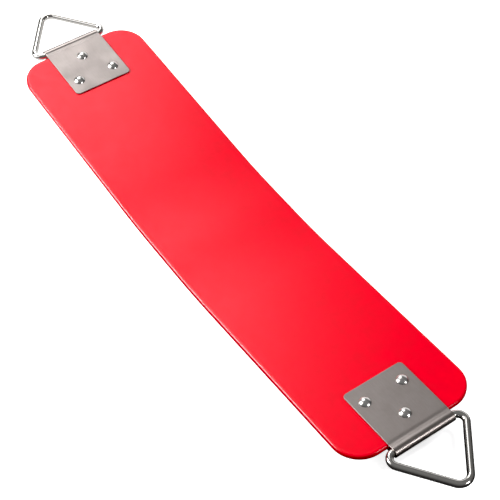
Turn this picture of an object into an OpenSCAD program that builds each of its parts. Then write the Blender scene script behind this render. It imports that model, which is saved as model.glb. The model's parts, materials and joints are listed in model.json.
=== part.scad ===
// Belt swing seat: a flexible strap with a folded steel clamp plate and a triangular ring at each end.
// Origin: middle of the seat's underside. +X runs along the seat, +Y across it, +Z up.
// The middle of the strap is flat and lies lowest. Both ends rise gently and are straight.
// The left half is the mirror image of the right half in the plane X = 0.

/* [Belt] */
// Length along the top surface, mm
belt_len = 585; // [540:5:640]
// Width across, mm
belt_w = 140; // [120:5:160]
// Thickness, mm
belt_t = 6; // [5:0.5:8]
// Plan radius of the four corners, mm
belt_corner_r = 28; // [15:1:35]
// Rounding of the top and bottom edges, mm
belt_edge_r = 2; // [1:0.5:2]

/* [Belt bending] */
// Half length of the flat middle, mm
flat_half = 20; // [15:1:25]
// Length of each of the five bending stretches on a side, mm
stretch_len = 30; // [27:1:32]
// Upward tilt of each straight end, degrees
rise_deg = 5.2; // [2:0.2:8]
// Downward bend each joint line has room for, degrees
relief_deg = 1; // [0.9:0.1:2]

/* [Clamp plates] */
// Width across the belt, mm
plate_w = 65; // [62:1:80]
// Reach over the belt, from the belt's end edge, mm
plate_reach = 63.5; // [60:0.5:72]
// Sheet thickness, mm
sheet_t = 1.5; // [1:0.25:2]
// Plan radius of the inner corners, mm
plate_corner_r = 4; // [2:1:8]
// Distance of the knuckle's axis past the belt's end edge, mm
knuckle_reach = 6.4; // [6.2:0.1:8]

/* [Rivets] */
// Shank diameter, mm
rivet_d = 6; // [5:0.5:7]
// Diameter of the domed head, mm
head_d = 12; // [10:0.5:13]
// Height of the domed head, mm
head_h = 3.25; // [2:0.25:3.75]
// Diameter of the formed tail, mm
tail_d = 9.5; // [9:0.5:11]
// Height of the formed tail, mm
tail_h = 2; // [1.5:0.25:2.5]
// Spacing of the two rivets that sit side by side, mm
pair_spacing = 41; // [34:1:46]
// Distance of that pair from the belt's end edge, mm
pair_setback = 46.2; // [42:0.2:50]
// Distance of the single rivet from the belt's end edge, mm
tip_setback = 17; // [12:1:22]

/* [Rings] */
// Wire diameter, mm
wire_d = 7; // [6:0.5:8]
// Centreline radius of the two base corners, mm
ring_corner_r = 7.3; // [6.8:0.1:10]
// Centreline radius of the tip, mm
ring_tip_r = 10.5; // [6:0.75:12]
// Running clearance round the wire in its knuckle, mm
ring_clear = 0.1; // [0.05:0.01:0.1]

/* [Hidden] */
$fn = 96;

belt_red = [0.86, 0.03, 0.11];
plate_steel = [0.66, 0.64, 0.61];
wire_steel = [0.78, 0.77, 0.75];
rivet_steel = [0.82, 0.81, 0.80];

// Spare length that carries a cutting shape past the solid it cuts.
over = 1;
// Radial gap round a rivet's shank in its hole.
hole_clear = 0.05;
// End gap between a knuckle and the ring's base corners.
ring_side_gap = 0.15;

// The first two stretches on a side are curved, the next three are straight.
curved_count = 2;
straight_count = 3;
// Radius of the belt's top surface where it curves up.
rise_r = curved_count * stretch_len / (rise_deg * PI / 180);
// End edge of the belt, counted from the start of its straight run.
end_x = belt_len / 2 - flat_half - curved_count * stretch_len;
// Knuckle axis, counted the same way.
knuckle_x = end_x + knuckle_reach;
// Start of the belt's rounded end.
corner_x = end_x - belt_corner_r;

wire_r = wire_d / 2;
// Inside radius of the knuckle. It is never narrower than the belt, so its sheet meets both leaves.
knuckle_r = max(belt_t / 2, wire_r + ring_clear);
// Each half of a ring is a 3:4:5 triangle: half base, height and side. Its corners turn on whole ratios of
// their radius: a base corner uses up twice its radius of each leg, and the tip four thirds of its radius.
ring_base_angle = atan(4 / 3);
ring_corner_run = 2 * ring_corner_r;
ring_tip_run = ring_tip_r * 4 / 3;
ring_tip_depth = ring_tip_r * 5 / 3;
// Smallest triangle, in steps of 0.05, whose straight base is longer than the knuckle.
ring_step = 0.05;
ring_min_half_base = plate_w / 2 + ring_side_gap + ring_corner_run;
ring_unit = ring_step * ceil(ring_min_half_base / (3 * ring_step) - 0.001);
ring_half_base = 3 * ring_unit;
ring_height = 4 * ring_unit;
ring_side = 5 * ring_unit;
ring_straight_half = ring_half_base - ring_corner_run;

// Cross-section of the belt: X across the belt, Y = 0 on its top surface.
module belt_section() {
    translate([-belt_w / 2 + belt_edge_r, -belt_t])
        square([belt_w - 2 * belt_edge_r, belt_t]);
    translate([-belt_w / 2, -belt_t + belt_edge_r])
        square([belt_w, belt_t - 2 * belt_edge_r]);
    for (side = [-1, 1], level = [-belt_edge_r, belt_edge_r - belt_t])
        translate([side * (belt_w / 2 - belt_edge_r), level])
            circle(r = belt_edge_r);
}

// Half section of the belt's rim, from the corner centre out to the rounded edge.
module rim_section() {
    translate([0, -belt_t])
        square([belt_corner_r - belt_edge_r, belt_t]);
    translate([0, -belt_t + belt_edge_r])
        square([belt_corner_r, belt_t - 2 * belt_edge_r]);
    for (level = [-belt_edge_r, belt_edge_r - belt_t])
        translate([belt_corner_r - belt_edge_r, level])
            circle(r = belt_edge_r);
}

// Straight bar of belt along +X, with its top surface at Z = 0.
module belt_bar(from, to) {
    translate([from, 0, 0])
        rotate([90, 0, 90])
            linear_extrude(to - from)
                belt_section();
}

// Room kept by a stretch that starts at X = 0: its start face leans away below the top surface.
module leaning_start(len) {
    lean = tan(relief_deg);
    rotate([90, 0, 0])
        linear_extrude(belt_w + 2 * over, center = true)
            polygon([
                [-over * lean, over],
                [len, over],
                [len, -belt_t - over],
                [(belt_t + over) * lean, -belt_t - over]
            ]);
}

// Frame on the right-hand curve, at an angle from its start: X = 0 on the radius there, Z = 0 on the top surface.
module on_curve(angle) {
    translate([flat_half, 0, belt_t + rise_r])
        rotate([0, -angle, 0])
            translate([0, 0, -rise_r])
                children();
}

// Frame of the right-hand straight run, which starts where the curve ends.
module on_straight_run() {
    on_curve(rise_deg)
        children();
}

// Flat middle of the belt.
module belt_middle_shape() {
    translate([0, 0, belt_t])
        belt_bar(-flat_half, flat_half);
}

// Curved stretch number i, counted from the middle.
module curved_stretch(i) {
    sweep = rise_deg / curved_count;
    on_curve(i * sweep)
        intersection() {
            translate([0, 0, rise_r])
                rotate([90, 90, 0])
                    rotate_extrude(angle = sweep)
                        translate([rise_r, 0])
                            rotate(90)
                                belt_section();
            leaning_start(stretch_len + over);
        }
}

// Straight stretch number i after the curve.
module straight_stretch(i) {
    on_straight_run()
        translate([i * stretch_len, 0, 0])
            intersection() {
                belt_bar(-over, stretch_len);
                leaning_start(stretch_len);
            }
}

// Straight end of the belt, with rounded corners and three rivet holes.
module end_stretch() {
    start_x = straight_count * stretch_len;
    on_straight_run()
        difference() {
            intersection() {
                union() {
                    belt_bar(start_x - over, corner_x);
                    translate([corner_x, 0, 0])
                        rotate([90, 0, 0])
                            linear_extrude(belt_w - 2 * belt_corner_r, center = true)
                                rim_section();
                    for (side = [-1, 1])
                        translate([corner_x, side * (belt_w / 2 - belt_corner_r), 0])
                            rotate([0, 0, side < 0 ? -90 : 0])
                                rotate_extrude(angle = 90)
                                    rim_section();
                }
                translate([start_x, 0, 0])
                    leaning_start(end_x - start_x + over);
            }
            rivet_holes();
        }
}

module at_rivet(setback, offset) {
    translate([end_x - setback, offset, 0])
        children();
}

module rivet_hole() {
    translate([0, 0, -belt_t - sheet_t - over])
        cylinder(r = rivet_d / 2 + hole_clear, h = belt_t + 2 * sheet_t + 2 * over);
}

module rivet_holes() {
    for (side = [-1, 1])
        at_rivet(pair_setback, side * pair_spacing / 2)
            rivet_hole();
    at_rivet(tip_setback, 0)
        rivet_hole();
}

// Side view of a clamp plate: two leaves and the knuckle that joins them, Y = 0 on the belt's top surface.
module plate_profile() {
    leaf_x = end_x - plate_reach;
    difference() {
        union() {
            translate([leaf_x, -belt_t - sheet_t])
                square([knuckle_x - leaf_x, belt_t + 2 * sheet_t]);
            translate([knuckle_x, -belt_t / 2])
                circle(r = knuckle_r + sheet_t);
        }
        translate([leaf_x - over, -belt_t])
            square([knuckle_x - leaf_x + over, belt_t]);
        translate([knuckle_x, -belt_t / 2])
            circle(r = knuckle_r);
    }
}

// Plan of a clamp plate, rounded at its two inner corners.
module plate_plan() {
    leaf_x = end_x - plate_reach;
    far_x = knuckle_x + knuckle_r + sheet_t + over;
    translate([leaf_x + plate_corner_r, -plate_w / 2])
        square([far_x - leaf_x - plate_corner_r, plate_w]);
    translate([leaf_x, plate_corner_r - plate_w / 2])
        square([far_x - leaf_x, plate_w - 2 * plate_corner_r]);
    for (side = [-1, 1])
        translate([leaf_x + plate_corner_r, side * (plate_w / 2 - plate_corner_r)])
            circle(r = plate_corner_r);
}

module clamp_plate() {
    on_straight_run()
        difference() {
            intersection() {
                rotate([90, 0, 0])
                    linear_extrude(plate_w + 2 * over, center = true)
                        plate_profile();
                translate([0, 0, -belt_t / 2])
                    linear_extrude(2 * (knuckle_r + sheet_t + over), center = true)
                        plate_plan();
            }
            rivet_holes();
        }
}

// Outline of a domed cap on the axis: X is the radius, Y the height above the sheet.
module cap_outline(d, h) {
    ball_r = (d * d / 4 + h * h) / (2 * h);
    intersection() {
        translate([0, h - ball_r])
            circle(r = ball_r);
        square([d, h]);
    }
}

// Rivet on its own axis: domed head above, shank through the stack, flatter formed tail below.
module rivet_shape() {
    rotate_extrude()
        union() {
            translate([0, sheet_t])
                cap_outline(head_d, head_h);
            translate([0, -belt_t - sheet_t])
                square([rivet_d / 2, belt_t + 2 * sheet_t]);
            translate([0, -belt_t - sheet_t])
                mirror([0, 1])
                    cap_outline(tail_d, tail_h);
        }
}

module rivet(setback, offset) {
    on_straight_run()
        at_rivet(setback, offset)
            rivet_shape();
}

module wire_bend(r, sweep) {
    rotate_extrude(angle = sweep)
        translate([r, 0])
            circle(r = wire_r, $fn = 48);
}

// One side of the ring: base corner and straight side, on the +Y half.
module ring_half() {
    translate([ring_corner_r, ring_straight_half, 0])
        rotate([0, 0, ring_base_angle])
            wire_bend(ring_corner_r, 180 - ring_base_angle);
    translate([0, ring_half_base, 0])
        rotate([0, 90, ring_base_angle - 90])
            translate([0, 0, ring_corner_run])
                cylinder(r = wire_r, h = ring_side - ring_corner_run - ring_tip_run, $fn = 48);
}

// Triangle of round wire. Its straight base runs along Y through the origin.
module ring_wire() {
    rotate([90, 0, 0])
        cylinder(r = wire_r, h = 2 * ring_straight_half, center = true, $fn = 48);
    ring_half();
    mirror([0, 1, 0])
        ring_half();
    translate([ring_height - ring_tip_depth, 0, 0])
        rotate([0, 0, -ring_base_angle])
            wire_bend(ring_tip_r, 2 * ring_base_angle);
}

// Ring with its base in the knuckle, lying level with the floor.
module ring_shape() {
    on_straight_run()
        translate([knuckle_x, 0, -belt_t / 2])
            rotate([0, rise_deg, 0])
                ring_wire();
}

module to_left() {
    mirror([1, 0, 0])
        children();
}

module belt_centre() { color(belt_red) belt_middle_shape(); }
module belt_left_1() { color(belt_red) to_left() curved_stretch(0); }
module belt_left_2() { color(belt_red) to_left() curved_stretch(1); }
module belt_left_3() { color(belt_red) to_left() straight_stretch(0); }
module belt_left_4() { color(belt_red) to_left() straight_stretch(1); }
module belt_left_5() { color(belt_red) to_left() straight_stretch(2); }
module belt_left_end() { color(belt_red) to_left() end_stretch(); }
module belt_right_1() { color(belt_red) curved_stretch(0); }
module belt_right_2() { color(belt_red) curved_stretch(1); }
module belt_right_3() { color(belt_red) straight_stretch(0); }
module belt_right_4() { color(belt_red) straight_stretch(1); }
module belt_right_5() { color(belt_red) straight_stretch(2); }
module belt_right_end() { color(belt_red) end_stretch(); }
module left_clamp_plate() { color(plate_steel) to_left() clamp_plate(); }
module right_clamp_plate() { color(plate_steel) clamp_plate(); }
module left_ring() { color(wire_steel) to_left() ring_shape(); }
module right_ring() { color(wire_steel) ring_shape(); }
module left_rivet_front() { color(rivet_steel) to_left() rivet(pair_setback, -pair_spacing / 2); }
module left_rivet_back() { color(rivet_steel) to_left() rivet(pair_setback, pair_spacing / 2); }
module left_rivet_tip() { color(rivet_steel) to_left() rivet(tip_setback, 0); }
module right_rivet_front() { color(rivet_steel) rivet(pair_setback, -pair_spacing / 2); }
module right_rivet_back() { color(rivet_steel) rivet(pair_setback, pair_spacing / 2); }
module right_rivet_tip() { color(rivet_steel) rivet(tip_setback, 0); }

belt_centre();
belt_left_1();
belt_left_2();
belt_left_3();
belt_left_4();
belt_left_5();
belt_left_end();
belt_right_1();
belt_right_2();
belt_right_3();
belt_right_4();
belt_right_5();
belt_right_end();
left_clamp_plate();
right_clamp_plate();
left_ring();
right_ring();
left_rivet_front();
left_rivet_back();
left_rivet_tip();
right_rivet_front();
right_rivet_back();
right_rivet_tip();
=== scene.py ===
"""Looks for the belt swing seat: fine meshes, materials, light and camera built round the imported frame.

Metres throughout. +X runs along the seat to its right end, +Y across it, +Z up, with the floor at Z = 0.
Every mesh is built for the right-hand half and mirrored for the left.
"""

import json
import math

import bpy
from mathutils import Matrix, Vector


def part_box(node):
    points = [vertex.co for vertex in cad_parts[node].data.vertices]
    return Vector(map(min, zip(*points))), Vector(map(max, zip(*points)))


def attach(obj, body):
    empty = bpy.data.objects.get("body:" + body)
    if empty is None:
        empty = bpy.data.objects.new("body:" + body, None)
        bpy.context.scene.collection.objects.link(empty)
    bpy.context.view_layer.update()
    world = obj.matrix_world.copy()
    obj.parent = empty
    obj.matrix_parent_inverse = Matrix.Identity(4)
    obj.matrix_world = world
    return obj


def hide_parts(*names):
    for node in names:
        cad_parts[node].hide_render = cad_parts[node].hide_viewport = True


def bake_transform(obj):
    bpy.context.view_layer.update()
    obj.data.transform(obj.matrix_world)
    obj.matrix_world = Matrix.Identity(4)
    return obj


MM = 0.001

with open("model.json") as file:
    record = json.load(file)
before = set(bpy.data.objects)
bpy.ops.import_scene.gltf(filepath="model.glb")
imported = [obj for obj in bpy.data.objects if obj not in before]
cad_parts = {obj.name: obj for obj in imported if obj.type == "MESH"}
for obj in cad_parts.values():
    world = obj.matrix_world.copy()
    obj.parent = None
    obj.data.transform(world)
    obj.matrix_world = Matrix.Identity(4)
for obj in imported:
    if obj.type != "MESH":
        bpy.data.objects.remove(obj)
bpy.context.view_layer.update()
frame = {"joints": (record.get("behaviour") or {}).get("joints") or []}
joint_at = {joint["name"]: Vector(joint["pos_m"]) for joint in frame["joints"]}

# ---------------------------------------------------------------- sizes read from the frame

BELT_LOW, BELT_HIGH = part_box("belt_centre")
BELT_T = BELT_HIGH.z - BELT_LOW.z
BELT_HALF_W = BELT_HIGH.y
FLAT_HALF = joint_at["right_bend"].x
BENDS = 6

# The belt's top surface is flat, then an arc, then straight. The joint lines lie on it.
run_dir = (joint_at["right_bend_6"] - joint_at["right_bend_3"]).normalized()
TILT = math.atan2(run_dir.z, run_dir.x)
CURVE_R = (joint_at["right_bend_3"] - joint_at["right_bend"]).length / (2 * math.sin(TILT / 2))
CURVE_LEN = CURVE_R * TILT
STRETCH = (joint_at["right_bend_6"] - joint_at["right_bend_5"]).length

# Frame of the straight run: X along it from the end of the arc, Z = 0 on the belt's top surface.
RUN = Matrix.LocRotScale(
    joint_at["right_bend_3"],
    Matrix.Rotation(-TILT, 3, "Y"),
    None,
)
TO_RUN = RUN.inverted()
KNUCKLE = TO_RUN @ joint_at["right_ring_swing"]
PLATE_LOW, PLATE_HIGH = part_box("right_clamp_plate")
PLATE_HALF_W = PLATE_HIGH.y

# ---------------------------------------------------------------- detail sizes

# Belt: corners in plan, and the rounding of its top and bottom edges.
BELT_CORNER_R = 28 * MM
BELT_EDGE_R = 2 * MM
# A belt piece's tongue: how far it lies under the next piece's surface, and its length.
TONGUE_SINK = 0.03 * MM
TONGUE_LEN = 1.2 * MM

# Clamp plate: the knuckle's axis past the belt's end, its inside radius, and the sheet.
KNUCKLE_REACH = 6.4 * MM
KNUCKLE_R = 3.6 * MM
SHEET_T = 1.5 * MM
SHEET_EDGE_R = 0.35 * MM
PLATE_CORNER_R = 4 * MM
# A leaf meets the round fold at this angle.
FOLD_START = math.radians(20)
# A leaf is pressed in beside the belt's end: how deep, how far past the end, and how wide.
PRESS_DEPTH = 0.35 * MM
PRESS_PAST_END = 0.6 * MM
PRESS_WIDTH = 2.0 * MM

# Ring: the wire, the bends on its centreline, and the gap beside the knuckle.
WIRE_R = 3.5 * MM
RING_CORNER_R = 7.3 * MM
RING_TIP_R = 10.5 * MM
RING_SIDE_GAP = 0.15 * MM

# Rivet: domed head, flatter formed tail, shank.
HEAD_R = 6 * MM
HEAD_H = 3.25 * MM
TAIL_R = 4.75 * MM
TAIL_H = 2 * MM
SHANK_R = 3 * MM

# Along the straight run: the belt's end edge, and where a plate's leaves start.
END_X = KNUCKLE.x - KNUCKLE_REACH
LEAF_X = (PLATE_LOW.x - RUN.translation.x + SHEET_T * math.sin(TILT)) / math.cos(TILT)
# Start of the straight run, counted along the belt's top surface from the middle.
RUN_START_S = FLAT_HALF + CURVE_LEN

# ---------------------------------------------------------------- mesh steps

BELT_COLUMNS = 28
BELT_PITCH = 1.5 * MM
BELT_CORNER_STEPS = 20
BELT_EDGE_STEPS = 6
BELT_EDGE_MARGIN = 0.5 * MM
RIM_DROP = 0.004 * MM
PLATE_COLUMNS = 24
PLATE_CORNER_STEPS = 10
PLATE_EDGE_STEPS = 4
PLATE_EDGE_MARGIN = 0.3 * MM
LEAF_PITCH = 3 * MM
LEAF_FINE_LEN = 14 * MM
LEAF_FINE_PITCH = 0.4 * MM
FOLD_STEPS = 16
RING_BEND_STEPS = 28
RING_PITCH = 4 * MM
HEAD_STEPS = 16
TAIL_STEPS = 10


# ---------------------------------------------------------------- mesh helpers

def box_surface(counts, point):
    """Closed grid block: its vertices, its faces, and how many of those lie on its top and underside.

    Those come first. point(i, j, k) places the grid: i forward, j left, k down.
    """
    n, m, depth = counts
    index = {}
    verts = []
    faces = []

    def vertex(i, j, k):
        if (i, j, k) not in index:
            index[i, j, k] = len(verts)
            verts.append(point(i, j, k))
        return index[i, j, k]

    def quad(*corners):
        faces.append(tuple(vertex(*corner) for corner in corners))

    for i in range(n):
        for j in range(m):
            quad((i, j, 0), (i + 1, j, 0), (i + 1, j + 1, 0), (i, j + 1, 0))
            quad((i, j, depth), (i, j + 1, depth), (i + 1, j + 1, depth), (i + 1, j, depth))
    flat_count = len(faces)
    for i in range(n):
        for k in range(depth):
            quad((i, m, k), (i + 1, m, k), (i + 1, m, k + 1), (i, m, k + 1))
            quad((i, 0, k), (i, 0, k + 1), (i + 1, 0, k + 1), (i + 1, 0, k))
    for j in range(m):
        for k in range(depth):
            quad((n, j, k), (n, j, k + 1), (n, j + 1, k + 1), (n, j + 1, k))
            quad((0, j, k), (0, j + 1, k), (0, j + 1, k + 1), (0, j, k + 1))
    return verts, faces, flat_count


def tube(path, radius, around=40):
    """Closed wire ring in the XY plane, along a closed path of (x, y) points that runs anticlockwise."""
    verts = []
    faces = []
    count = len(path)
    for i, (x, y) in enumerate(path):
        before = path[i - 1]
        after = path[(i + 1) % count]
        along = Vector((after[0] - before[0], after[1] - before[1], 0)).normalized()
        outward = Vector((along.y, -along.x, 0))
        for j in range(around):
            angle = 2 * math.pi * j / around
            offset = math.cos(angle) * outward + Vector((0, 0, math.sin(angle)))
            verts.append(Vector((x, y, 0)) + radius * offset)
    for i in range(count):
        for j in range(around):
            a = i * around
            b = (i + 1) % count * around
            k = (j + 1) % around
            faces.append((a + j, b + j, b + k, a + k))
    return verts, faces


def lathe(profile, around=48):
    """Closed turned solid about Z, from (radius, height) points that run from pole to pole, top first."""
    verts = [Vector((0, 0, profile[0][1]))]
    faces = []
    rings = profile[1:-1]
    for r, z in rings:
        for j in range(around):
            angle = 2 * math.pi * j / around
            verts.append(Vector((r * math.cos(angle), r * math.sin(angle), z)))
    verts.append(Vector((0, 0, profile[-1][1])))
    for j in range(around):
        k = (j + 1) % around
        faces.append((0, 1 + j, 1 + k))
        for i in range(len(rings) - 1):
            a = 1 + i * around
            b = a + around
            faces.append((a + j, b + j, b + k, a + k))
        last = 1 + (len(rings) - 1) * around
        faces.append((len(verts) - 1, last + k, last + j))
    return verts, faces


def make_piece(name, shape, materials, left, sharp_deg=40):
    """Mesh object from a right-hand shape, mirrored in X = 0 for the left-hand side.

    A grid block's rim takes the second material.
    """
    verts, faces, *flat_count = shape
    if left:
        verts = [Vector((-v.x, v.y, v.z)) for v in verts]
        faces = [tuple(reversed(face)) for face in faces]
    mesh = bpy.data.meshes.new(name)
    mesh.from_pydata(verts, [], faces)
    mesh.shade_smooth()
    mesh.set_sharp_from_angle(angle=math.radians(sharp_deg))
    for material in materials:
        mesh.materials.append(material)
    if len(materials) > 1:
        on_rim = [int(i >= flat_count[0]) for i in range(len(faces))]
        mesh.polygons.foreach_set("material_index", on_rim)
    piece = bpy.data.objects.new(name, mesh)
    bpy.context.scene.collection.objects.link(piece)
    return piece


def arc(centre_x, centre_y, radius, start_deg, end_deg, steps):
    """(x, y) points along an arc, both ends included."""
    turns = [math.radians(start_deg + (end_deg - start_deg) * i / steps) for i in range(steps + 1)]
    return [(centre_x + radius * math.cos(a), centre_y + radius * math.sin(a)) for a in turns]


def rounded_rim(edge_r, half_t, margin, steps):
    """(inset, height) points down a rounded edge, with a margin on both faces that is all but flat.

    The margin drops slightly, so that no face that closes a cut end has zero area.
    """
    top = [(edge_r + margin, half_t)]
    for i in range(steps + 1):
        angle = math.pi / 2 * i / steps
        inset = edge_r * (1 - math.sin(angle))
        top.append((inset, half_t - RIM_DROP - (edge_r - RIM_DROP) * (1 - math.cos(angle))))
    return top + [(inset, -height) for inset, height in reversed(top)]


def spaced(start, end, pitch):
    """Even steps from start to end, no longer than pitch, both ends included."""
    count = max(1, math.ceil((end - start) / pitch))
    return [start + (end - start) * i / count for i in range(count + 1)]


# ---------------------------------------------------------------- material helpers

def new_material(name):
    """A fresh material, its node tree and its main shader."""
    material = bpy.data.materials.new(name)
    material.use_nodes = True
    tree = material.node_tree
    return material, tree, tree.nodes["Principled BSDF"]


def add_node(tree, kind, inputs=(), **settings):
    """Adds a shader node. inputs maps a socket name or number to a value or to another node's output."""
    node = tree.nodes.new(kind)
    for key, value in settings.items():
        setattr(node, key, value)
    for socket, value in dict(inputs).items():
        if isinstance(value, bpy.types.NodeSocket):
            tree.links.new(value, node.inputs[socket])
        else:
            node.inputs[socket].default_value = value
    return node


def noise(tree, vector, scale, detail=2.0, rough=0.5):
    """Noise with that many cells a metre. Most of it lies between 0.3 and 0.7."""
    inputs = {"Vector": vector, "Scale": scale, "Detail": detail, "Roughness": rough}
    return add_node(tree, "ShaderNodeTexNoise", inputs).outputs["Fac"]


def mapped(tree, value, low_in, high_in, low_out, high_out):
    """Value rescaled from one range to another, and held at the ends."""
    inputs = {"Value": value, "From Min": low_in, "From Max": high_in, "To Min": low_out, "To Max": high_out}
    return add_node(tree, "ShaderNodeMapRange", inputs).outputs["Result"]


def maths(tree, operation, *values, clamp=False):
    """Result of one arithmetic node."""
    made = add_node(tree, "ShaderNodeMath", dict(enumerate(values)), operation=operation, use_clamp=clamp)
    return made.outputs["Value"]


def blend_colour(tree, factor, first, second):
    """Colour that goes from the first to the second as the factor goes from 0 to 1."""
    inputs = {"Factor": factor, "A": (*first, 1), "B": (*second, 1)}
    return add_node(tree, "ShaderNodeMix", inputs, data_type="RGBA").outputs["Result"]


def blend_value(tree, factor, first, second):
    """The same for plain numbers."""
    return add_node(tree, "ShaderNodeMix", {"Factor": factor, "A": first, "B": second}).outputs["Result"]


def bump(tree, height, distance, strength, normal=None):
    """Normal of a surface raised by that distance, on top of an earlier bump if one is given."""
    inputs = {"Height": height, "Distance": distance, "Strength": strength}
    if normal is not None:
        inputs["Normal"] = normal
    return add_node(tree, "ShaderNodeBump", inputs).outputs["Normal"]


def object_place(tree, stretch=(1, 1, 1)):
    """Place in the shared frame, in metres, stretched per axis."""
    place = add_node(tree, "ShaderNodeTexCoord").outputs["Object"]
    return add_node(tree, "ShaderNodeMapping", {"Vector": place, "Scale": stretch}).outputs["Vector"]


# ---------------------------------------------------------------- materials

BELT_RED = (0.64, 0.0003, 0.013)
BELT_RED_DEEP = (0.59, 0.0003, 0.011)
PLATE_COLOUR = (0.34, 0.304, 0.289)
WIRE_COLOUR = (0.74, 0.72, 0.69)
RIVET_COLOUR = (0.78, 0.76, 0.74)
# Dull steel's share of the bright colour, and how far smears and streaks each go towards it.
DULL_SHARE = 0.84
SMEAR_SHARE = 0.6
STREAK_SHARE = 0.4
# Streaks are long along X and fine across it, in cells a metre.
STREAK_STRETCH = (30, 900, 900)
# A plate's rubbed fold has this share of its leaves' roughness. The change lies between these two distances
# short of the ring's axis.
FOLD_POLISH = 0.68
POLISH_START = 7 * MM
POLISH_END = 3 * MM


def belt_material(name, rough, gloss):
    """Satin moulded red rubber: fine pebble grain, faint mottling, slightly uneven sheen."""
    material, tree, shader = new_material(name)
    place = object_place(tree)
    mottle = noise(tree, place, 90, 4, 0.6)
    grain = noise(tree, place, 1500, 2, 0.5)
    pebble = noise(tree, place, 600, 2, 0.5)
    colour = blend_colour(tree, mapped(tree, mottle, 0.35, 0.65, 0, 1), BELT_RED, BELT_RED_DEEP)
    tree.links.new(colour, shader.inputs["Base Color"])
    tree.links.new(mapped(tree, mottle, 0.3, 0.7, rough * 0.88, rough * 1.12), shader.inputs["Roughness"])
    shader.inputs["Specular IOR Level"].default_value = gloss
    first = bump(tree, pebble, 0.06 * MM, 0.35)
    tree.links.new(bump(tree, grain, 0.03 * MM, 0.3, first), shader.inputs["Normal"])
    return material


def rubbed_bright(tree, rough):
    """Roughness that falls where the ring rubs the fold of a plate, past the belt's end."""
    place = add_node(tree, "ShaderNodeTexCoord").outputs["Object"]
    x = add_node(tree, "ShaderNodeSeparateXYZ", {"Vector": place}).outputs["X"]
    fold_x = joint_at["right_ring_swing"].x
    away = maths(tree, "ABSOLUTE", x)
    share = mapped(tree, away, fold_x - POLISH_START, fold_x - POLISH_END, 1, FOLD_POLISH)
    return maths(tree, "MULTIPLY", rough, share)


def steel_material(name, colour, rough, brush_strength, rubbed=False):
    """Stainless steel: streaked finish along X, light smears and, on a plate, a fold rubbed bright."""
    material, tree, shader = new_material(name)
    streaks = noise(tree, object_place(tree, STREAK_STRETCH), 1, 3, 0.6)
    smear = noise(tree, object_place(tree), 45, 3, 0.55)
    smear_tone = mapped(tree, smear, 0.3, 0.7, 0, SMEAR_SHARE)
    streak_tone = mapped(tree, streaks, 0.3, 0.7, 0, STREAK_SHARE)
    shade = maths(tree, "ADD", smear_tone, streak_tone, clamp=True)
    dull = tuple(DULL_SHARE * c for c in colour)
    shader.inputs["Metallic"].default_value = 1
    tree.links.new(blend_colour(tree, shade, colour, dull), shader.inputs["Base Color"])
    roughness = mapped(tree, smear, 0.3, 0.7, rough * 0.9, rough * 1.1)
    if rubbed:
        roughness = rubbed_bright(tree, roughness)
    tree.links.new(roughness, shader.inputs["Roughness"])
    tree.links.new(bump(tree, streaks, 0.01 * MM, brush_strength), shader.inputs["Normal"])
    return material


BELT = belt_material("belt_red_rubber", rough=0.33, gloss=0.24)
BELT_EDGE = belt_material("belt_edge_rubber", rough=0.24, gloss=0.45)
PLATE_STEEL = steel_material("clamp_plate_steel", PLATE_COLOUR, rough=0.52, brush_strength=0.35, rubbed=True)
WIRE_STEEL = steel_material("ring_wire_steel", WIRE_COLOUR, rough=0.14, brush_strength=0.10)
RIVET_STEEL = steel_material("rivet_steel", RIVET_COLOUR, rough=0.24, brush_strength=0.05)


# ---------------------------------------------------------------- belt

def on_belt(s, y, height):
    """Point on the belt's right half: s runs along its top surface, and height is from its mid-thickness."""
    up = height - BELT_T / 2
    if s <= FLAT_HALF:
        return Vector((s, y, BELT_T + up))
    if s <= RUN_START_S:
        angle = (s - FLAT_HALF) / CURVE_R
        radius = CURVE_R - up
        return Vector((FLAT_HALF + radius * math.sin(angle), y, BELT_T + CURVE_R - radius * math.cos(angle)))
    return RUN @ Vector((s - RUN_START_S, y, up))


def belt_piece_shape(start, end, start_tongue, last):
    """Belt from start to end along its top surface, with rounded edges.

    The last piece has the belt's rounded corners. The other ends, and the start if asked, carry a tongue just
    below the next piece's surface, to keep the joint between them closed if the pieces were bent.
    """
    rim = rounded_rim(BELT_EDGE_R, BELT_T / 2, BELT_EDGE_MARGIN, BELT_EDGE_STEPS)
    straight_end = end - BELT_CORNER_R if last else end
    # Each row of the grid: its place along the belt, its turn round a corner, and how far it is sunk.
    rows = [(s, 0.0, 0.0) for s in spaced(start, straight_end, BELT_PITCH)]
    if start_tongue:
        rows = [(start - TONGUE_LEN, 0.0, TONGUE_SINK), (start, 0.0, TONGUE_SINK)] + rows
    if last:
        turns = [math.radians(90 * i / BELT_CORNER_STEPS) for i in range(1, BELT_CORNER_STEPS + 1)]
        rows += [(straight_end, turn, 0.0) for turn in turns]
    else:
        rows += [(end, 0.0, TONGUE_SINK), (end + TONGUE_LEN, 0.0, TONGUE_SINK)]

    def place(i, j, k):
        inset, height = rim[k]
        s, turn, sink = rows[i]
        if turn:
            s += (BELT_CORNER_R - inset) * math.sin(turn)
            half = BELT_HALF_W - BELT_CORNER_R + (BELT_CORNER_R - inset) * math.cos(turn)
        else:
            half = BELT_HALF_W - inset - sink
        return on_belt(s, half * (2 * j / BELT_COLUMNS - 1), height * (1 - 2 * sink / BELT_T))

    return box_surface((len(rows) - 1, BELT_COLUMNS, len(rim) - 1), place)


def blend_reach(to_border):
    """Reach of a blend from its joint line, for a piece whose border is at that distance.

    It suits a blend along the smooth step 3t^2 - 2t^3, with which pieces that meet at a border would agree
    there in height and in slope. The belt pieces here are not blended.
    """
    return to_border * 2 / (math.sqrt(3) - 1)


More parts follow.
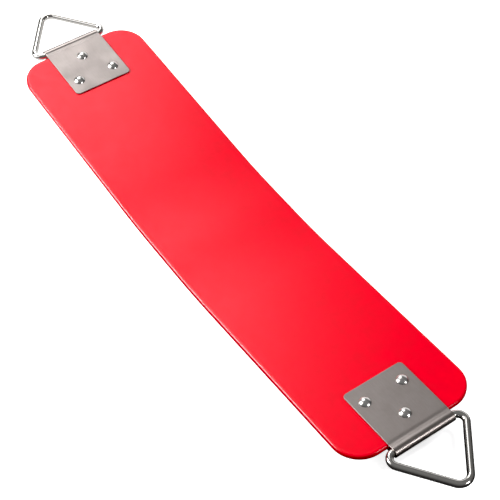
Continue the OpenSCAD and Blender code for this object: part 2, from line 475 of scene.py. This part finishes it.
def blend_ends(joint, to_border, mirror):
    """The two points either side of a joint line that lie a blend's reach from it, along the belt."""
    joint_s = FLAT_HALF + joint * STRETCH
    before, middle, after = (on_belt(joint_s + step * STRETCH / 2, 0, BELT_T / 2) for step in (-1, 0, 1))
    reach = (after - before).normalized() * blend_reach(to_border)
    ends = (middle - reach, middle + reach)
    for point in ends:
        point.x *= mirror
    return ends


def belt_spans():
    """Each right-hand piece's (start, end, joint number, distance from its joint line to its border)."""
    half = STRETCH / 2
    spans = [(0, FLAT_HALF, 0, FLAT_HALF), (FLAT_HALF, FLAT_HALF + half, 0, half)]
    for i in range(1, BENDS):
        s = FLAT_HALF + i * STRETCH
        end = RUN_START_S + END_X if i == BENDS - 1 else s + half
        spans.append((s - half, end, i, half))
    return spans


def make_belt():
    """Skin pieces over the joint lines, which meet half way between them and at the first joint line."""
    for side in ("right", "left"):
        left = side == "left"
        for number, (start, end, joint, to_border) in enumerate(belt_spans(), 1):
            last = joint == BENDS - 1
            start_tongue = number == 1 and not left
            shape = belt_piece_shape(start, end, start_tongue, last)
            piece = make_piece(f"belt_skin_{side}_{number}", shape, (BELT, BELT_EDGE), left)
            blend_start, blend_end = blend_ends(joint, to_border, -1 if left else 1)
            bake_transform(piece)
            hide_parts("belt_centre" if joint == 0 else f"belt_{side}_{joint}")
            if last:
                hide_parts(f"belt_{side}_end")


# ---------------------------------------------------------------- clamp plates

def leaf_height(x):
    """Mid-surface height of a leaf above mid-belt: pressed in beside the belt's end, rising to the fold."""
    flat = BELT_T / 2 + SHEET_T / 2
    fold_r = KNUCKLE_R + SHEET_T / 2
    rise_end = KNUCKLE.x - fold_r * math.sin(FOLD_START)
    rise = fold_r * math.cos(FOLD_START) - flat
    rise_start = rise_end - 2 * rise / math.tan(FOLD_START)
    pressed = PRESS_DEPTH * math.exp(-(((x - END_X - PRESS_PAST_END) / PRESS_WIDTH) ** 2))
    fade = min(1.0, max(0.0, (rise_end - x) / PRESS_WIDTH))
    lift = rise * max(0.0, (x - rise_start) / (rise_end - rise_start)) ** 2
    return flat - pressed * fade + lift


def plate_path():
    """Side view of the sheet's mid-surface as (length so far, x, z, outward normal x, outward normal z)."""
    fold_r = KNUCKLE_R + SHEET_T / 2
    leaf_end = KNUCKLE.x - fold_r * math.sin(FOLD_START)
    fine_start = leaf_end - LEAF_FINE_LEN
    leaf_x = spaced(LEAF_X, fine_start, LEAF_PITCH) + spaced(fine_start, leaf_end, LEAF_FINE_PITCH)[1:]
    upper = [Vector((x, leaf_height(x))) for x in leaf_x]
    half_fold = math.pi / 2 + FOLD_START
    fold = [half_fold - half_fold * i / FOLD_STEPS for i in range(1, FOLD_STEPS)]
    upper += [Vector((KNUCKLE.x + fold_r * math.cos(a), fold_r * math.sin(a))) for a in fold]
    lower = [Vector((point.x, -point.y)) for point in reversed(upper)]
    line = upper + [Vector((KNUCKLE.x + fold_r, 0))] + lower
    points = []
    length = 0.0
    for i, point in enumerate(line):
        along = (line[min(i + 1, len(line) - 1)] - line[max(i - 1, 0)]).normalized()
        length += (point - line[max(i - 1, 0)]).length
        points.append((length, point.x, KNUCKLE.z + point.y, -along.y, along.x))
    return points


def plate_shape():
    """Sheet with rounded corners and edges, laid along its side view."""
    path = plate_path()
    total = path[-1][0]
    rim = rounded_rim(SHEET_EDGE_R, SHEET_T / 2, PLATE_EDGE_MARGIN, PLATE_EDGE_STEPS)
    turns = [90 * i / PLATE_CORNER_STEPS for i in range(PLATE_CORNER_STEPS)]

    def on_path(u):
        for (u0, *a), (u1, *b) in zip(path[:-1], path[1:]):
            if u <= u1:
                t = max(0.0, (u - u0) / (u1 - u0))
                return [p + (q - p) * t for p, q in zip(a, b)]
        return path[-1][1:]

    inner_u = [p[0] for p in path if PLATE_CORNER_R < p[0] < total - PLATE_CORNER_R]
    rows = [("start", turn) for turn in turns]
    rows += [("run", u) for u in [PLATE_CORNER_R] + inner_u + [total - PLATE_CORNER_R]]
    rows += [("end", turn) for turn in reversed(turns)]

    def place(i, j, k):
        inset, height = rim[k]
        kind, value = rows[i]
        if kind == "run":
            u = value
            half = PLATE_HALF_W - inset
        else:
            turn = math.radians(value)
            radius = PLATE_CORNER_R - inset
            u = PLATE_CORNER_R - radius * math.cos(turn)
            half = PLATE_HALF_W - PLATE_CORNER_R + radius * math.sin(turn)
            if kind == "end":
                u = total - u
        x, z, nx, nz = on_path(u)
        y = half * (2 * j / PLATE_COLUMNS - 1)
        return RUN @ Vector((x + nx * height, y, z + nz * height))

    return box_surface((len(rows) - 1, PLATE_COLUMNS, len(rim) - 1), place)


def make_plates():
    """The two clamp plates, each fixed to its belt end."""
    shape = plate_shape()
    for side in ("right", "left"):
        piece = make_piece(f"clamp_plate_{side}", shape, (PLATE_STEEL,), side == "left", 50)
        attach(piece, f"{side}_end")
        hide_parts(f"{side}_clamp_plate")


# ---------------------------------------------------------------- rings

def ring_path():
    """Centreline of the rounded triangle, anticlockwise from above. Half of it is a 3:4:5 triangle."""
    base_half = PLATE_HALF_W + RING_SIDE_GAP
    corner_run = 2 * RING_CORNER_R
    unit = (base_half + corner_run) / 3
    height = 4 * unit
    slant = math.degrees(math.atan2(4, 3))
    tip_x = height - RING_TIP_R * 5 / 3
    corners = (
        arc(RING_CORNER_R, -base_half, RING_CORNER_R, -180, -slant, RING_BEND_STEPS)
        + arc(tip_x, 0, RING_TIP_R, -slant, slant, RING_BEND_STEPS)
        + arc(RING_CORNER_R, base_half, RING_CORNER_R, slant, 180, RING_BEND_STEPS)
    )
    path = []
    for (x0, y0), (x1, y1) in zip(corners, corners[1:] + corners[:1]):
        steps = max(1, math.ceil(math.dist((x0, y0), (x1, y1)) / RING_PITCH))
        path += [(x0 + (x1 - x0) * i / steps, y0 + (y1 - y0) * i / steps) for i in range(steps)]
    return path


def make_rings():
    """The two triangle rings, level in their knuckles."""
    verts, faces = tube(ring_path(), WIRE_R)
    shape = [joint_at["right_ring_swing"] + v for v in verts], faces
    for side in ("right", "left"):
        piece = make_piece(f"ring_{side}", shape, (WIRE_STEEL,), side == "left")
        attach(piece, f"{side}_ring")
        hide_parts(f"{side}_ring")


# ---------------------------------------------------------------- rivets

def dome(radius, height, steps):
    """(radius, height) points from the pole of a domed cap down to its rim."""
    ball = (radius ** 2 + height ** 2) / (2 * height)
    reach = math.asin(radius / ball)
    angles = [reach * i / steps for i in range(steps + 1)]
    return [(ball * math.sin(a), height - ball * (1 - math.cos(a))) for a in angles]


def rivet_shape():
    """Domed head on the plate, shank hidden in the stack, flatter formed tail below."""
    top = SHEET_T
    bottom = -BELT_T - SHEET_T
    head = [(r, top + z) for r, z in dome(HEAD_R, HEAD_H, HEAD_STEPS)]
    tail = [(r, bottom - z) for r, z in dome(TAIL_R, TAIL_H, TAIL_STEPS)]
    neck = [(SHANK_R, top), (SHANK_R, bottom)]
    return lathe(head + neck + tail[::-1])


def make_rivets():
    """Three rivets through each clamp plate: two side by side and one near the ring."""
    verts, faces = rivet_shape()
    for side in ("right", "left"):
        left = side == "left"
        for spot in ("front", "back", "tip"):
            low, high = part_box(f"right_rivet_{spot}")
            centre = TO_RUN @ ((low + high) / 2)
            foot = Vector((centre.x, centre.y, 0))
            shape = [RUN @ (foot + v) for v in verts], faces
            piece = make_piece(f"rivet_{side}_{spot}", shape, (RIVET_STEEL,), left, 45)
            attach(piece, f"{side}_end")
            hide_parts(f"{side}_rivet_{spot}")


# ---------------------------------------------------------------- stage, light and camera

# The camera sees an even pale floor and backdrop. The seat sees a dark floor that glows only towards its left
# end, and a dim sky with one bright wall low behind it on the left.
FLOOR_HALF = 6.0
FLOOR_SEEN = (0.90, 0.90, 0.90)
FLOOR_UNSEEN = (0.03, 0.03, 0.03)
FLOOR_SEEN_GLOW = 0.7
FLOOR_FAR_GLOW = 0.8
FAR_GLOW_FULL_X = -0.30
FAR_GLOW_END_X = -0.05
WALL_SIDE = (-0.707, 0.707, 0)
WALL_LEVEL = 1.3
SKY_LEVEL = 0.22
HORIZON_LEVEL = 0.06
WORLD_SEEN = 0.92

CAMERA_TARGET = Vector((65.6, -16.5, 48.9)) * MM
CAMERA_DISTANCE = 1.18658
CAMERA_AZIMUTH = math.radians(54.87)
CAMERA_ELEVATION = math.radians(50.29)
CAMERA_ROLL = math.radians(-0.48)
CAMERA_LENS = 92.86
CAMERA_SENSOR = 36
# Tones up to this level come out black.
BLACK_LEVEL = 0.012


def look_at(item, target):
    """Turns a light to face a point."""
    item.rotation_mode = "QUATERNION"
    item.rotation_quaternion = (target - item.location).to_track_quat("-Z", "Y")


def floor_material():
    """White floor to the camera. The seat sees it darker, like the paper sweep of a small light tent."""
    material, tree, shader = new_material("white_floor")
    seen = add_node(tree, "ShaderNodeLightPath").outputs["Is Camera Ray"]
    tree.links.new(blend_colour(tree, seen, FLOOR_UNSEEN, FLOOR_SEEN), shader.inputs["Base Color"])
    x = add_node(tree, "ShaderNodeSeparateXYZ", {"Vector": object_place(tree)}).outputs["X"]
    unseen_glow = mapped(tree, x, FAR_GLOW_FULL_X, FAR_GLOW_END_X, FLOOR_FAR_GLOW, 0)
    glow = blend_value(tree, seen, unseen_glow, FLOOR_SEEN_GLOW)
    tree.links.new(glow, shader.inputs["Emission Strength"])
    shader.inputs["Emission Color"].default_value = (1, 1, 1, 1)
    shader.inputs["Roughness"].default_value = 0.9
    shader.inputs["Specular IOR Level"].default_value = 0
    return material


def make_floor():
    """Plain square floor that the seat rests on."""
    corners = [(x * FLOOR_HALF, y * FLOOR_HALF, 0) for x, y in ((-1, -1), (1, -1), (1, 1), (-1, 1))]
    mesh = bpy.data.meshes.new("floor")
    mesh.from_pydata(corners, [], [(0, 1, 2, 3)])
    floor = bpy.data.objects.new("floor", mesh)
    bpy.context.scene.collection.objects.link(floor)
    floor.data.materials.append(floor_material())


def add_softbox(name, location, target, size, power, spread_deg=180):
    """Rectangular light, its power in watts. A smaller spread narrows its beam."""
    data = bpy.data.lights.new(name, "AREA")
    data.spread = math.radians(spread_deg)
    data.shape = "RECTANGLE"
    data.size, data.size_y = size
    data.energy = power
    light = bpy.data.objects.new(name, data)
    light.location = location
    bpy.context.scene.collection.objects.link(light)
    look_at(light, Vector(target))
    return light


def make_lights():
    """Main light from the front left, and five weaker ones. The steel does not mirror the overhead one."""
    add_softbox("far_softbox", (-0.85, 0.18, 0.78), (-0.40, 0, 0), (0.56, 0.56), power=1.9, spread_deg=110)
    add_softbox("left_softbox", (-0.95, -1.3, 1.0), (0, 0, 0), (0.7, 0.6), power=52)
    add_softbox("right_softbox", (1.60, 0.62, 0.92), (0.3, 0, 0), (0.42, 0.42), power=8)
    add_softbox("ring_softbox", (-0.34, 0.08, 0.86), (0.36, 0, 0), (0.40, 0.40), power=0.08, spread_deg=50)
    add_softbox("front_softbox", (-0.20, -0.85, 0.75), (-0.33, 0, 0), (0.5, 0.8), power=1.6)
    overhead = add_softbox("overhead_softbox", (0.515, 0.39, 1.25), (0.2, 0, 0), (0.25, 0.25), power=6.5)
    overhead.visible_glossy = False


def make_world():
    """Bright wall low behind the seat and dim sky elsewhere, with an even backdrop for the camera."""
    world = bpy.data.worlds.new("studio")
    bpy.context.scene.world = world
    world.use_nodes = True
    tree = world.node_tree
    background = tree.nodes["Background"]
    background.inputs["Color"].default_value = (1, 1, 1, 1)
    direction = add_node(tree, "ShaderNodeTexCoord").outputs["Generated"]
    height = add_node(tree, "ShaderNodeSeparateXYZ", {"Vector": direction}).outputs["Z"]
    towards = add_node(tree, "ShaderNodeVectorMath", {0: direction, 1: WALL_SIDE}, operation="DOT_PRODUCT")
    low = mapped(tree, height, 0.15, 0.60, 1, 0)
    behind = mapped(tree, towards.outputs["Value"], 0.65, 0.90, 0, 1)
    wall = maths(tree, "MULTIPLY", low, behind)
    sky = mapped(tree, height, 0.05, 0.95, HORIZON_LEVEL, SKY_LEVEL)
    lit = maths(tree, "MULTIPLY_ADD", wall, WALL_LEVEL, sky)
    seen = add_node(tree, "ShaderNodeLightPath").outputs["Is Camera Ray"]
    tree.links.new(blend_value(tree, seen, lit, WORLD_SEEN), background.inputs["Strength"])


def make_camera():
    """Camera on the right, in front and above, with a slight roll."""
    back = Vector((
        math.sin(CAMERA_AZIMUTH) * math.cos(CAMERA_ELEVATION),
        -math.cos(CAMERA_AZIMUTH) * math.cos(CAMERA_ELEVATION),
        math.sin(CAMERA_ELEVATION),
    ))
    level = Vector((0, 0, 1)).cross(back).normalized()
    above = back.cross(level)
    right = level * math.cos(CAMERA_ROLL) - above * math.sin(CAMERA_ROLL)
    up = above * math.cos(CAMERA_ROLL) + level * math.sin(CAMERA_ROLL)
    data = bpy.data.cameras.new("camera")
    data.sensor_width = CAMERA_SENSOR
    data.lens = CAMERA_LENS
    camera = bpy.data.objects.new("camera", data)
    location = CAMERA_TARGET + back * CAMERA_DISTANCE
    camera.matrix_world = Matrix((
        (right.x, up.x, back.x, location.x),
        (right.y, up.y, back.y, location.y),
        (right.z, up.z, back.z, location.z),
        (0, 0, 0, 1),
    ))
    bpy.context.scene.collection.objects.link(camera)
    bpy.context.scene.camera = camera


def set_tones():
    """Plain tones, with the very darkest ones held at black."""
    view = bpy.context.scene.view_settings
    view.view_transform = "Standard"
    view.use_curve_mapping = True
    view.curve_mapping.black_level = (BLACK_LEVEL, BLACK_LEVEL, BLACK_LEVEL)
    view.curve_mapping.update()


make_belt()
make_plates()
make_rings()
make_rivets()
make_floor()
make_world()
make_lights()
make_camera()
set_tones()
